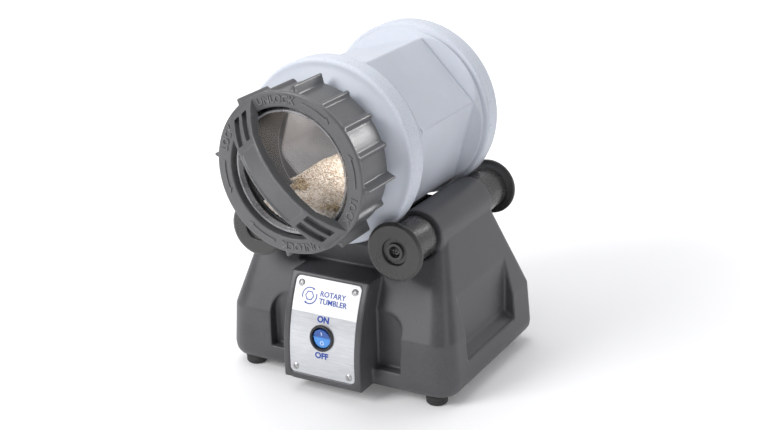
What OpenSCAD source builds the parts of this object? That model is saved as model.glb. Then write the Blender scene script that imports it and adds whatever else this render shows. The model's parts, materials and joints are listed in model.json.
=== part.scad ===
// Rotary rock tumbler: a hexagonal drum lies on two pairs of flanged rollers that stand out of a
// moulded base. A geared motor inside the base turns one roller shaft through a belt, and a big
// screw lid with a window closes the drum's neck. The drum axis runs along Y, the control panel
// faces -Y, and +Z is up. Heights count from the floor, depths from the middle of the drum.

/* [Base] */
// Width of the base at its foot
base_w = 226; // [222:1:230]
// Distance of the front wall from the middle
front_wall = 83.5; // [82.5:0.5:84.5]
// Distance of the rear wall from the middle
rear_wall = 87; // [86:0.5:87.5]
// Height of the rubber feet
foot_h = 9; // [8:0.5:10]
// Diameter of the rubber feet
foot_d = 20; // [18:1:22]
// Height where the base walls start to lean in
shoulder_z = 58; // [56:1:60]
// Wall thickness of the moulded base
wall = 3; // [2.8:0.1:3.2]
// Inward lean of the two side walls, in degrees
side_lean = 14.8; // [14:0.2:15.6]
// Inward lean of the front and rear walls, in degrees
end_lean = 23.8; // [23:0.2:24.6]

/* [Control panel] */
// Width of the metal control plate
plate_w = 64; // [60:1:66]
// Height of the lower edge of the plate
plate_z0 = 19; // [18:0.5:21]
// Height of the upper edge of the plate
plate_z1 = 102; // [99:0.5:103]
// Thickness of the plate
plate_t = 1.2; // [1:0.1:1.4]
// Bend radius of the upper part of the plate
plate_r = 140; // [136:1:144]
// Height of the switch centre
switch_z = 55; // [53:0.5:57]
// Diameter of the switch's round bezel
bezel_d = 23.5; // [23:0.1:24]
// Full rocking angle of the switch, in degrees
rock_angle = 20; // [16:1:20]

/* [Rollers] */
// Sideways distance of each roller shaft from the middle
roller_x = 67; // [66:0.5:68]
// Diameter of the rubber sleeves that carry the drum
sleeve_d = 37; // [36:0.5:38]
// Diameter of the roller flanges
flange_d = 51; // [49:0.5:52]
// Depth of the outer face of the flanges, front and rear
flange_y = 92; // [91:0.5:93]
// Diameter of both roller shafts
shaft_d = 8; // [7.5:0.1:8]

/* [Drum] */
// Height of the drum axis
drum_z = 214; // [213:0.5:215]
// Diameter of the two rolling rings
ring_d = 160; // [158:0.5:161]
// Half of the distance between the inner edges of the rings
ring_in = 62; // [61:0.5:63]
// Depth of the outer face of each ring
ring_out = 81.5; // [80:0.5:82]
// Distance from the axis to each of the six flats
flat_r = 64; // [63:0.2:64.6]
// Wall thickness of the drum shell
shell_t = 3.2; // [3:0.1:3.4]
// Thickness of the rubber liner
liner_t = 2.6; // [2.4:0.1:2.8]
// Outer diameter of the neck under its thread
neck_d = 115; // [114:0.5:116]
// Depth of the front end of the neck
neck_y = -126; // [-127:0.5:-125]
// Height of the tumbling media below the drum axis
media_drop = 32; // [30:1:40]

/* [Lid] */
// Depth of the lid's front face
lid_y = -139.7; // [-140.2:0.1:-139.2]
// Depth of the lid's rear edge
lid_rear_y = -94.5; // [-96:0.5:-94.5]
// Diameter of the lid's front face
lid_d = 135; // [134:0.5:136]
// Diameter of the opening in the lid's face
opening_d = 109.4; // [108:0.2:110]
// Angle of the handle bar across the lid, in degrees
bar_angle = 130.5; // [128:0.5:133]
// Height of the handle bar in front of the lid's face
bar_h = 30; // [28:0.5:31]
// Rise of the screw thread in one turn
pitch = 10; // [9.5:0.1:10.5]
// How far the drum can be lifted off the rollers in the model
lift = 120; // [60:10:160]

/* [Hidden] */
$fn = 64;
eps = 0.01;

// The whole object is centred on its own outline, front to back
front_y = lid_y - bar_h;
base_y = -(front_y + flange_y) / 2;

// Base
half_w = base_w / 2;
edge_r = 7;
edge_h = 11;
side_draft = 3;
front_draft = 1;
rear_draft = 3;
front_corner = 20;
rear_corner = 9;
tower_r = 22;
tower_y = 48.5;
roller_gap = 0.3;
sleeve_r = sleeve_d / 2;
ring_r = ring_d / 2;
mesh_r = ring_r + sleeve_r + roller_gap;
roller_z = drum_z - sqrt(mesh_r * mesh_r - roller_x * roller_x);
top_z = roller_z + tower_r;
ledge_z = plate_z1 + 3.5;
ledge_y = -53;
notch_w = 92;
boss_w = plate_w + 12;
boss_z = 13.5;
side_pocket_x = half_w - 12;
side_pocket_y = 48;
side_pocket_z = 34;
pocket_rise = 7;
pocket_arch = 16;
front_pocket_y = -front_wall + 10;
front_pocket_z = [27, 77];
front_pocket_x = [boss_w / 2 - 1, 65];
post_xy = [[99, 38], [99, -38], [-99, 38], [-99, -38]];
rear_post_x = [-42, 42];
rear_post_y = 69;
foot_xy = [[92, 68], [92, -68], [-92, 68], [-92, -68]];
cover_t = 2.5;
cover_gap = 0.4;
post_r = 4.5;
post_z = foot_h + cover_t + 0.2;
post_top = side_pocket_z + 5;

// Control panel
arc_z = 32;
plate_y = -103.5;
arc_y = plate_y + plate_r;
frame_proud = 1;
plate_corner = 4;
screw_x = plate_w / 2 - 5.6;
screw_z = [plate_z0 + 5.4, plate_z1 - 5.4];
bezel_t = 2.2;
body_r = 9.9;
well_r = 9.1;
pivot_depth = -1.2;
pivot_r = 1;
rocker_r = 8.4;

// Drive
bush_r = 8;
flange_t = 4;
flange_in = flange_y - flange_t;
barrel_y = tower_y + 2;
shaft_r = shaft_d / 2;
hub_r = 15;
run_gap = 0.05;
belt_y = 25;
belt_w = 7;
belt_t = 2;
big_pulley_r = 11.6;
small_pulley_r = 6;
motor_x = -6;
motor_z = 69;
motor_r = 31;
clip_y = 36;

// Cable entry
gland_x = 70;
gland_z = 37;
gland_bore_r = 3.3;
gland_body_r = 7;
gland_pad = 5.5;
gland_out = 4.8;

// Drum
hex_turn = 14;
corner_r = 73;
saddle_r = corner_r + 2.5;
slope_y = 50;
neck_r = neck_d / 2;
thread_h = 2.2;
thread_y = -100;
media_r = flat_r - shell_t - liner_t - 0.8;
liner_neck_r = 49.6;

// Lid
lid_r = lid_d / 2;
lid_side_r = 64.5;
lid_bore_r = neck_r + 3.2;
lip_y = -130.8;
rib_small = 3.4;
rib_tall = 7.8;
rib_count = 16;
rib_start = -5;
tall_ribs = [0, 4, 6, 8, 12, 14];
bar_arch_r = 86;
bar_t = 9;

// ---- Helpers ----

module place() translate([0, base_y, 0]) children();

module extrude_y(y0, y1) translate([0, y1, 0]) rotate([90, 0, 0]) linear_extrude(y1 - y0) children();

module turn_y() rotate([-90, 0, 0]) rotate_extrude($fn = 96) children();

module bar_y(r, y0, y1) translate([0, y0, 0]) rotate([-90, 0, 0]) cylinder(r = r, h = y1 - y0);

module tube_y(r_in, r_out, y0, y1) difference() {
    bar_y(r_out, y0, y1);
    bar_y(r_in, y0 - 1, y1 + 1);
}

module both_x() for (s = [0, 1]) mirror([s, 0, 0]) children();

module at_roller(side) translate([side * roller_x, 0, roller_z]) children();

module on_drum_axis() translate([0, 0, drum_z]) children();

// A flat shape between two radii and two depths, with rounded outer corners
module rounded_section(r0, r1, y0, y1, c) {
    translate([r0, y0]) square([r1 - r0 - c, y1 - y0]);
    translate([r0, y0 + c]) square([r1 - r0, y1 - y0 - 2 * c]);
    for (y = [y0 + c, y1 - c]) translate([r1 - c, y]) circle(c);
}

module rounded_rect(w, h, c) {
    square([w - 2 * c, h], center = true);
    square([w, h - 2 * c], center = true);
    for (x = [-1, 1], y = [-1, 1]) translate([x * (w / 2 - c), y * (h / 2 - c)]) circle(c);
}

// ---- Base ----

// Each level of the base body: height, and how far it steps in at the sides, front and rear
function base_levels() = concat(
    [for (a = [90 : -30 : 0]) let (e = edge_r * (1 - cos(a))) [foot_h + edge_h * (1 - sin(a)), e, e, e]],
    [[shoulder_z, side_draft, front_draft, rear_draft]],
    [[top_z, side_draft + lean(side_lean), front_draft + lean(end_lean), rear_draft + lean(end_lean)]]
);

function lean(angle) = (top_z - shoulder_z) * tan(angle);

// The base body, with every wall moved inwards by a distance
module base_form(in) hull() for (l = base_levels(), s = [-1, 1]) {
    z = in > 0 && l[0] == foot_h ? foot_h - 1 : l[0];
    rf = max(front_corner - l[2], 8) - in / 2;
    rr = max(rear_corner - l[3], 6) - in / 2;
    translate([s * (half_w - l[1] - in - rf), -front_wall + l[2] + in + rf, z])
        cylinder(r = rf, h = eps, $fn = 32);
    translate([s * (half_w - l[1] - in - rr), rear_wall - l[3] - in - rr, z])
        cylinder(r = rr, h = eps, $fn = 32);
}

// Outline of the base at its foot, moved inwards by a distance
module base_plan(inset) {
    x = half_w - inset;
    y0 = -front_wall + inset;
    y1 = rear_wall - inset;
    rf = front_corner - inset;
    rr = max(rear_corner - inset, 2);
    translate([-x + rf, y0]) square([2 * (x - rf), 2 * rf]);
    translate([-x, y0 + rf]) square([2 * x, y1 - y0 - rf - rr]);
    translate([-x + rr, y1 - 2 * rr]) square([2 * (x - rr), 2 * rr]);
    for (s = [-1, 1]) {
        translate([s * (x - rf), y0 + rf]) circle(rf);
        translate([s * (x - rr), y1 - rr]) circle(rr);
    }
}

// The base body up to the shaft height, with a round bearing tower at each side
module towers(in) {
    intersection() {
        base_form(in);
        translate([-half_w, -front_wall, 0]) cube([base_w, front_wall + rear_wall, roller_z]);
    }
    for (s = [-1, 1]) at_roller(s) {
        bar_y(tower_r - in, -tower_y + in, tower_y - in);
        translate([-tower_r + in, -tower_y + in + 3, -26])
            cube([2 * (tower_r - in), 2 * (tower_y - in - 3), 26]);
    }
}

// The control panel's curved block; grow moves its front surface outwards
module panel_block(grow, w, z0, z1) intersection() {
    translate([-w / 2, plate_y - 10, z0]) cube([w, 60, z1 - z0]);
    union() {
        translate([-w / 2, arc_y, arc_z]) rotate([0, 90, 0])
            cylinder(r = plate_r + grow, h = w, $fn = 128);
        translate([-w / 2, plate_y - grow, 0]) cube([w, 80, arc_z]);
    }
}

// Pockets in the front wall and in the two side walls; grow thickens them for the inner surface
module pockets(grow) {
    both_x() extrude_y(-front_wall - 20, front_pocket_y + grow) front_pocket_shape(grow);
    both_x() extrude_y(-side_pocket_y - grow, side_pocket_y + grow) side_pocket_shape(grow);
}

// The floor of a side pocket climbs inwards
module side_pocket_shape(grow) {
    x0 = side_pocket_x - grow;
    x1 = half_w + 20;
    z0 = side_pocket_z - grow;
    polygon([
        [x0, z0 + pocket_rise], [half_w - side_draft, z0], [x1, z0], [x1, z0 + 90], [x0, z0 + 90]
    ]);
}

module front_pocket_shape(grow) {
    x0 = front_pocket_x[0] - grow;
    x1 = front_pocket_x[1] + grow;
    z0 = front_pocket_z[0] - grow;
    z1 = front_pocket_z[1] + grow;
    translate([x0, z0]) square([x1 - x0, z1 - z0 - pocket_arch]);
    translate([x0, z0]) square([x1 - x0 - pocket_arch, z1 - z0]);
    translate([x1 - pocket_arch, z1 - pocket_arch]) circle(pocket_arch);
}

// The notch above the control panel, where the front of the base steps back; grow thickens it
module notch(grow) translate([-notch_w / 2 - grow, -120, ledge_z - grow])
    cube([notch_w + 2 * grow, 120 + ledge_y + grow, 80]);

// Room for the sleeves at the outer faces of the towers
module sleeve_room(grow) for (s = [-1, 1]) at_roller(s) {
    bar_y(sleeve_r + 2 + grow, -80, -tower_y + grow);
    bar_y(sleeve_r + 2 + grow, tower_y - grow, 80);
}

module base_outside() difference() {
    union() {
        difference() {
            towers(0);
            pockets(0);
        }
        panel_block(frame_proud, boss_w, boss_z, ledge_z);
    }
    on_drum_axis() bar_y(saddle_r, -120, 120);
    notch(0);
    plate_recess();
    sleeve_room(0);
}

module plate_recess() difference() {
    panel_edge(0.4) panel_block(20, plate_w + 10, 0, 120);
    panel_block(-plate_t - 0.1, boss_w + 20, 0, 130);
}

// Keeps what lies inside the plate's rounded outline
module panel_edge(grow) intersection() {
    children();
    translate([0, 0, (plate_z0 + plate_z1) / 2]) extrude_y(-130, -60)
        rounded_rect(plate_w + 2 * grow, plate_z1 - plate_z0 + 2 * grow, plate_corner + grow);
}

module base_inside() difference() {
    union() {
        towers(wall);
        panel_block(-plate_t - wall, boss_w - 2 * wall, 0, ledge_z - wall);
        translate([0, 0, foot_h - 1]) linear_extrude(cover_t + 1.2) base_plan(edge_r + wall);
    }
    pockets(wall);
    on_drum_axis() bar_y(saddle_r + wall, -120, 120);
    notch(wall);
    sleeve_room(wall);
}

module base_housing() color([0.30, 0.30, 0.32]) difference() {
    union() {
        difference() {
            base_outside();
            base_inside();
        }
        for (s = [-1, 1], e = [-1, 1]) at_roller(s)
            bar_y(bush_r + 3.5, e > 0 ? tower_y - 9 : -tower_y + 0.5, e > 0 ? tower_y - 0.5 : -tower_y + 9);
        for (p = post_xy) post(p[0], p[1]);
        for (x = rear_post_x) {
            post(x, rear_post_y);
            translate([x - 1.5, rear_post_y, post_z])
                cube([3, rear_wall - rear_post_y - 2, post_top - post_z]);
        }
        translate([gland_x, 0, gland_z]) bar_y(12.5, rear_wall - gland_pad, rear_wall);
    }
    for (s = [-1, 1]) at_roller(s) bar_y(bush_r + run_gap, -tower_y - 5, tower_y + 5);
    for (p = post_xy) translate([p[0], p[1], foot_h]) cylinder(r = 1.45, h = 14);
    for (x = rear_post_x) translate([x, rear_post_y, foot_h]) cylinder(r = 1.45, h = 14);
    on_panel(switch_z) cylinder(r = body_r + 0.5, h = 30, center = true);
    for (x = [-1, 1], z = screw_z) translate([x * screw_x, 0, 0]) on_panel(z)
        cylinder(r = 1.45, h = 14, center = true);
    translate([gland_x, 0, gland_z]) bar_y(gland_body_r + run_gap, rear_wall - 12, rear_wall + 12);
}

module post(x, y) translate([x, y, post_z]) cylinder(r = post_r, h = post_top - post_z);

// Puts its children on the plate's front surface at a height, with +Z pointing straight out of it
function panel_tilt(z) = z > arc_z ? asin((z - arc_z) / plate_r) : 0;
function panel_y(z) = z > arc_z ? arc_y - plate_r * cos(panel_tilt(z)) : plate_y;
module on_panel(z) translate([0, panel_y(z), z]) rotate([90 - panel_tilt(z), 0, 0]) children();

module bottom_cover() color([0.22, 0.22, 0.23]) difference() {
    union() {
        translate([0, 0, foot_h]) linear_extrude(cover_t) cover_outline();
        for (p = foot_xy) translate([p[0], p[1], foot_h]) cylinder(r = 4.2, h = 11);
    }
    for (p = foot_xy) translate([p[0], p[1], foot_h - 1]) cylinder(r = 2.05, h = 14);
    for (p = post_xy) translate([p[0], p[1], foot_h - 1]) cylinder(r = 1.7, h = 8);
    for (x = rear_post_x) translate([x, rear_post_y, foot_h - 1]) cylinder(r = 1.7, h = 8);
    for (x = [-1, 1], y = [-1, 1]) translate([motor_x + x * bracket_hole_x, bracket_hole_y(y), foot_h - 1])
        cylinder(r = 1.85, h = 8);
    for (i = [-4 : 4]) translate([motor_x + i * 8 - 1.75, -52, foot_h - 1]) cube([3.5, 40, 8]);
}

module cover_outline() {
    base_plan(edge_r + wall + cover_gap);
    translate([-boss_w / 2 + wall + cover_gap, plate_y + 6.5])
        square([boss_w - 2 * wall - 2 * cover_gap, 40]);
}

module cross_screw(head_r, head_h, shank_r, length) difference() {
    union() {
        intersection() {
            cylinder(r = head_r, h = head_h);
            translate([0, 0, head_h - head_r * 1.6]) sphere(r = head_r * 1.6, $fn = 48);
        }
        translate([0, 0, -length]) cylinder(r = shank_r, h = length + eps);
    }
    for (a = [0, 90]) rotate([0, 0, a]) translate([-head_r * 0.6, -head_r * 0.12, head_h * 0.35])
        cube([head_r * 1.2, head_r * 0.24, head_h]);
}

module cover_screws() color([0.6, 0.6, 0.62]) {
    for (p = post_xy) translate([p[0], p[1], foot_h]) rotate([180, 0, 0]) cross_screw(3.2, 1.6, 1.4, 12);
    for (x = rear_post_x) translate([x, rear_post_y, foot_h])
        rotate([180, 0, 0]) cross_screw(3.2, 1.6, 1.4, 12);
}

module feet() color([0.12, 0.12, 0.12]) for (p = foot_xy) translate([p[0], p[1], 0]) difference() {
    rotate_extrude() polygon([
        [0, 0], [foot_d / 2 - 2, 0], [foot_d / 2 - 0.6, 1.2], [foot_d / 2, foot_h], [0, foot_h]
    ]);
    translate([0, 0, -1]) cylinder(r = 4.6, h = 5);
    cylinder(r = 2.1, h = foot_h + 1);
}

module foot_screws() color([0.6, 0.6, 0.62]) for (p = foot_xy)
    translate([p[0], p[1], 4]) rotate([180, 0, 0]) cross_screw(4, 2, 2, 13);

module control_plate() color([0.83, 0.84, 0.85]) difference() {
    panel_edge(0) difference() {
        panel_block(0, plate_w, plate_z0, plate_z1);
        panel_block(-plate_t, plate_w + 10, 0, 130);
    }
    on_panel(switch_z) cylinder(r = body_r + 0.3, h = 10, center = true);
    for (x = [-1, 1], z = screw_z) translate([x * screw_x, 0, 0])
        on_panel(z) cylinder(r = 1.75, h = 8, center = true);
}

module plate_screws() color([0.65, 0.65, 0.66])
    for (x = [-1, 1], z = screw_z) translate([x * screw_x, 0, 0]) on_panel(z)
        rotate([0, 0, 35]) translate([0, 0, 0.05]) cross_screw(3.1, 1.3, 1.4, 8);

// ---- Switch, in the frame of the panel at its height ----

module switch_body() color([0.08, 0.08, 0.09]) on_panel(switch_z) difference() {
    union() {
        rotate_extrude() difference() {
            rounded_section(0, bezel_d / 2, 0.05, bezel_t, 0.9);
            translate([0, bezel_t - 0.6])
                polygon([[0, 0], [rocker_r + 0.6, 0], [rocker_r + 1.4, 1], [0, 1]]);
        }
        translate([0, 0, -16]) cylinder(r = body_r, h = 16.1);
        translate([-7, -6, -21]) cube([14, 12, 6]);
    }
    translate([0, 0, -6.6]) cylinder(r = well_r, h = 20);
    translate([-body_r - 2, 0, pivot_depth]) rotate([0, 90, 0])
        cylinder(r = pivot_r + run_gap, h = 2 * body_r + 4, $fn = 32);
}

// The rocker rests on its lower half; the upper half stands out
module switch_rocker() color([0.16, 0.45, 0.80])
    on_panel(switch_z) translate([0, 0, pivot_depth]) rotate([rock_angle / 2, 0, 0]) {
        intersection() {
            translate([0, 0, -4]) cylinder(r = rocker_r, h = 9);
            rotate([90, 0, 90]) translate([0, 0, -10]) linear_extrude(20) polygon([
                [-rocker_r, -2.4], [-rocker_r, 2.3], [0, 0.9], [rocker_r, 2.3], [rocker_r, -2.4], [0, -3.4]
            ]);
        }
        translate([-body_r + 0.4, 0, 0]) rotate([0, 90, 0])
            cylinder(r = pivot_r, h = 2 * body_r - 0.8, $fn = 32);
    }

module switch_terminals() color([0.80, 0.66, 0.36])
    on_panel(switch_z) for (y = [-4.5, 0, 4.5]) translate([-3.15, y - 0.4, -29]) cube([6.3, 0.8, 8]);

// ---- Cable entry ----

module cable_gland() color([0.10, 0.10, 0.10]) translate([gland_x, 0, gland_z]) difference() {
    turn_y() {
        translate([0, rear_wall - 18]) square([gland_body_r, 18.2]);
        rounded_section(0, 10, rear_wall + 0.1, rear_wall + 2.6, 0.8);
        translate([0, rear_wall + 2.4])
            polygon([[0, 0], [7.4, 0], [6.2, gland_out - 2.4], [0, gland_out - 2.4]]);
    }
    bar_y(gland_bore_r, 60, 120);
}

module gland_nut() color([0.12, 0.12, 0.12]) translate([gland_x, 0, gland_z])
    difference() {
        extrude_y(rear_wall - gland_pad - 5.1, rear_wall - gland_pad - 0.1) circle(r = 11, $fn = 6);
        bar_y(gland_body_r + run_gap, 60, 100);
    }

// ---- Motor and gearbox ----

module at_motor() translate([motor_x, 0, motor_z]) children();

bracket_hole_x = 19;
function bracket_hole_y(y) = 28 + y * 7;

module motor_can() color([0.55, 0.56, 0.58]) at_motor() difference() {
    turn_y() {
        rounded_section(0, motor_r, -44, -4, 2);
        translate([0, -4.5]) square([motor_r - 3, 4.5]);
    }
    bar_y(10, -60, -4);
    bar_y(2.5 + run_gap, -5, 1);
    for (a = [0 : 45 : 315]) rotate([0, a, 0]) translate([0, -40, motor_r - 2]) bar_y(1.2, 0, 33);
}

module motor_end_cap() color([0.16, 0.16, 0.17]) at_motor() difference() {
    turn_y() {
        rounded_section(0, motor_r - 1, -49, -44.1, 1.5);
        translate([0, -51]) square([8, 3]);
    }
    bar_y(2.5 + run_gap, -60, -40);
    for (a = [30 : 60 : 330]) rotate([0, a, 0]) translate([0, 0, 18]) bar_y(5, -60, -40);
}

module motor_gearbox() color([0.70, 0.71, 0.72]) at_motor() difference() {
    union() {
        turn_y() rounded_section(0, motor_r, 0.1, 13.9, 1.5);
        bar_y(9, 10, 17.4);
    }
    bar_y(3 + run_gap, 3, 30);
    bar_y(2.5 + run_gap, -2, 3.5);
    for (a = [60, 180, 300]) rotate([0, a, 0]) translate([0, 0, 22]) bar_y(1.45, 6, 20);
}

module motor_bracket() color([0.74, 0.75, 0.77]) difference() {
    union() {
        at_motor() extrude_y(14, 16.5) rounded_rect(52, 60, 5);
        translate([motor_x - 26, 14, foot_h + cover_t]) cube([52, 2.5, motor_z - foot_h - cover_t - 20]);
        translate([motor_x - 26, 14, foot_h + cover_t]) cube([52, 26, 2.5]);
        for (x = [-26, 23.5]) translate([motor_x + x, 0, foot_h + cover_t]) rotate([90, 0, 90])
            linear_extrude(2.5) polygon([[14, 0], [38, 0], [16.5, 30], [14, 30]]);
    }
    at_motor() bar_y(9.1, 10, 20);
    at_motor() for (a = [60, 180, 300]) rotate([0, a, 0]) translate([0, 0, 22]) bar_y(1.7, 10, 20);
    for (x = [-1, 1], y = [-1, 1]) translate([motor_x + x * bracket_hole_x, bracket_hole_y(y), foot_h])
        cylinder(r = 1.85, h = 12);
}

module motor_screws() color([0.6, 0.6, 0.62]) at_motor() for (a = [60, 180, 300])
    rotate([0, a, 0]) translate([0, 16.55, 22]) rotate([-90, 0, 0]) cross_screw(3, 1.8, 1.4, 10);

module bracket_screws() color([0.6, 0.6, 0.62]) for (x = [-1, 1], y = [-1, 1])
    translate([motor_x + x * bracket_hole_x, bracket_hole_y(y), foot_h]) rotate([180, 0, 0]) {
        cross_screw(3.2, 1.6, 1.75, 8);
        translate([0, 0, -cover_t - 2.5 - 2.45]) difference() {
            cylinder(r = 3.6, h = 2.4, $fn = 6);
            cylinder(r = 1.7, h = 10, center = true);
        }
    }

module rotor_shaft() color([0.75, 0.76, 0.78]) at_motor() {
    bar_y(2.5, -60, 2.6);
    bar_y(9, -40, -6);
}

module cooling_fan() color([0.15, 0.15, 0.16]) at_motor() difference() {
    union() {
        bar_y(6, -60, -52.5);
        for (a = [0 : 45 : 315]) rotate([0, a, 0]) translate([0, -56.2, 13])
            rotate([0, 0, 35]) cube([1.2, 7, 17], center = true);
    }
    bar_y(2.5, -70, -40);
}

module output_shaft() color([0.75, 0.76, 0.78]) at_motor() bar_y(3, 3.8, belt_y + 6);

module pulley(r, bore, hub) difference() {
    turn_y() {
        translate([0, -belt_w / 2 - 0.5]) square([r, belt_w + 1]);
        for (y = [-belt_w / 2 - 1.7, belt_w / 2 + 0.5]) translate([0, y]) square([r + 2, 1.2]);
        translate([0, belt_w / 2]) square([hub, 5]);
    }
    bar_y(bore, -20, 20);
}

module motor_pulley() color([0.20, 0.20, 0.21]) at_motor() translate([0, belt_y, 0])
    pulley(small_pulley_r, 3, small_pulley_r - 1);

module roller_pulley() color([0.20, 0.20, 0.21]) at_roller(1) translate([0, belt_y, 0])
    pulley(big_pulley_r, shaft_r, 8);

// Outline of a belt round both pulleys; grow is the distance outside them
module belt_outline(grow) hull() {
    circle(small_pulley_r + grow);
    translate([roller_x - motor_x, roller_z - motor_z]) circle(big_pulley_r + grow);
}

module drive_belt() color([0.10, 0.10, 0.10]) at_motor() extrude_y(belt_y - belt_w / 2, belt_y + belt_w / 2)
    difference() {
        belt_outline(run_gap + belt_t);
        belt_outline(run_gap);
    }

// ---- Roller shafts ----

module bushes() for (e = [0, 180]) rotate([0, 0, e]) difference() {
    turn_y() {
        translate([0, tower_y - 9]) square([bush_r, 9.2]);
        translate([0, tower_y + 0.1]) square([bush_r + 2, 1.1]);
    }
    bar_y(shaft_r + run_gap, tower_y - 20, tower_y + 10);
}

module shaft() difference() {
    bar_y(shaft_r, -flange_in, flange_in);
    for (e = [0, 180]) rotate([0, 0, e]) {
        bar_y(1.95, flange_in - 14, flange_in + 1);
        tube_y(shaft_r - 0.5, shaft_r + 2, clip_y, clip_y + 1.1);
    }
}

// The moulded roller: a hub that carries the sleeve, and the outer flange with its recessed face
module roller_hub() difference() {
    turn_y() {
        translate([0, barrel_y]) square([hub_r, flange_y - barrel_y - 2]);
        rounded_section(0, flange_d / 2, flange_in, flange_y, 1.6);
    }
    bar_y(shaft_r, barrel_y - 5, flange_in);
    bar_y(4.8, flange_in + 0.2, flange_y + 1);
    bar_y(2.1, flange_in - 1, flange_y + 1);
    tube_y(7.4, 11.4, flange_y - 3.2, flange_y + 1);
    tube_y(4.7, 7.5, flange_y - 0.8, flange_y + 1);
}

module sleeves() for (e = [0, 180]) rotate([0, 0, e]) difference() {
    turn_y() rounded_section(0, sleeve_r, barrel_y, flange_in - 0.1, 0.8);
    bar_y(hub_r, barrel_y - 5, flange_y);
}

module shaft_clips() for (e = [0, 180]) rotate([0, 0, e]) difference() {
    tube_y(shaft_r - 0.45, 7, clip_y + 0.05, clip_y + 1.05);
    translate([-2.4, clip_y - 1, -10]) cube([4.8, 3, 10]);
}

module roller_screws() for (e = [0, 180]) rotate([0, 0, e])
    translate([0, flange_in + 0.25, 0]) rotate([-90, 0, 0]) cross_screw(4, 2.2, 1.9, 12);

module drive_bushes() color([0.72, 0.60, 0.38]) at_roller(1) bushes();
module drive_shaft() color([0.75, 0.76, 0.78]) at_roller(1) shaft();
module drive_front_roller() color([0.10, 0.10, 0.11]) at_roller(1) rotate([0, 0, 180]) roller_hub();
module drive_rear_roller() color([0.10, 0.10, 0.11]) at_roller(1) roller_hub();
module drive_sleeves() color([0.16, 0.16, 0.16]) at_roller(1) sleeves();
module drive_shaft_clips() color([0.5, 0.5, 0.52]) at_roller(1) shaft_clips();
module drive_roller_screws() color([0.5, 0.5, 0.52]) at_roller(1) roller_screws();

module idler_bushes() color([0.72, 0.60, 0.38]) at_roller(-1) bushes();
module idler_shaft() color([0.75, 0.76, 0.78]) at_roller(-1) shaft();
module idler_front_roller() color([0.10, 0.10, 0.11]) at_roller(-1) rotate([0, 0, 180]) roller_hub();
module idler_rear_roller() color([0.10, 0.10, 0.11]) at_roller(-1) roller_hub();
module idler_sleeves() color([0.16, 0.16, 0.16]) at_roller(-1) sleeves();
module idler_shaft_clips() color([0.5, 0.5, 0.52]) at_roller(-1) shaft_clips();
module idler_roller_screws() color([0.5, 0.5, 0.52]) at_roller(-1) roller_screws();

// ---- Drum ----

module hex_prism(apothem, y0, y1) extrude_y(y0, y1) rotate(hex_turn) circle(r = apothem / cos(30), $fn = 6);

// The drum's body, with every surface moved inwards by a distance; cut rounds the hexagon's corners
module drum_body(in, cut) {
    intersection() {
        hex_prism(flat_r - in, -ring_in - 2, ring_in + 2);
        bar_y(cut, -ring_in - 3, ring_in + 3);
    }
    for (s = [0, 1]) mirror([0, s, 0]) ring_shoulder(in, cut);
    for (e = [0, 180]) rotate([0, 0, e]) turn_y() {
        rounded_section(0, ring_r - in, ring_in + 1 + in / 2, ring_out - in, in > 0 ? 2 : 4);
        rounded_section(0, ring_r - in, ring_in + in / 2, ring_in + 8, 1.5);
    }
}

// Six flat crescents that climb from the hexagon to the ring
module ring_shoulder(in, cut) intersection() {
    translate([0, slope_y + in / 2, 0]) rotate([-90, 0, 0]) rotate([0, 0, -hex_turn])
        cylinder(r1 = (flat_r - in) / cos(30), r2 = (ring_r - in - 1) / cos(30),
            h = ring_in - slope_y + 0.5, $fn = 6);
    translate([0, slope_y + in / 2, 0]) rotate([-90, 0, 0])
        cylinder(r1 = cut, r2 = ring_r - in - 2, h = ring_in - slope_y + 0.5);
}

// One ridge of the screw thread, swept along its helix; it fades in and out at its ends
module ridge(root_r, crest_r, y0, turns) {
    n = round(turns * 36);
    fade = 3;
    pts = [for (i = [0 : n]) let (
            a = i * 10,
            k = min(1, (i + 0.3) / fade, (n - i + 0.3) / fade),
            y = y0 - pitch * a / 360,
            r = root_r + (crest_r - root_r) * k
        ) each [for (c = [[root_r, 2], [root_r, -2], [r, -1], [r, 1]])
            [c[0] * cos(a), y + c[1], c[0] * sin(a)]]];
    sides = [for (i = [0 : n - 1], j = [0 : 3]) let (b = i * 4, k = (j + 1) % 4)
        [b + j, b + k, b + 4 + k, b + 4 + j]];
    split = [for (q = sides) each [[q[0], q[1], q[2]], [q[0], q[2], q[3]]]];
    caps = [[0, 3, 2], [0, 2, 1], [4 * n, 4 * n + 1, 4 * n + 2], [4 * n, 4 * n + 2, 4 * n + 3]];
    faces = concat(split, caps);
    polyhedron(pts, crest_r > root_r ? [for (f = faces) [f[2], f[1], f[0]]] : faces);
}

module drum_shell() color([0.79, 0.81, 0.85]) on_drum_axis() difference() {
    union() {
        drum_body(0, corner_r);
        turn_y() polygon([[0, -60], [ring_r - 6, -ring_out + 0.5], [ring_r - 6, -ring_out],
            [neck_r + 2, -ring_out - 5.5], [0, -ring_out - 5.5]]);
        bar_y(neck_r, neck_y, -60);
        ridge(neck_r - 1, neck_r + thread_h, thread_y, 1.75);
    }
    drum_body(shell_t, corner_r - shell_t);
    bar_y(52.4, neck_y - 1, -60);
}

module drum_liner() color([0.16, 0.16, 0.17]) on_drum_axis() difference() {
    union() {
        drum_body(shell_t + 0.15, corner_r - shell_t - 0.15);
        bar_y(52.3, neck_y + 0.5, -60);
    }
    drum_body(shell_t + liner_t, 61.5);
    bar_y(liner_neck_r, neck_y - 1, -60);
}

// A bed of media that lies level in the turning drum and reaches into its neck
module tumbling_media() color([0.86, 0.73, 0.62]) on_drum_axis() difference() {
    union() {
        bar_y(media_r, -73, 73);
        bar_y(liner_neck_r - 0.4, neck_y + 0.2, -60);
    }
    translate([-80, -140, -media_drop]) cube([160, 260, 140]);
}

// ---- Lid ----

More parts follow.
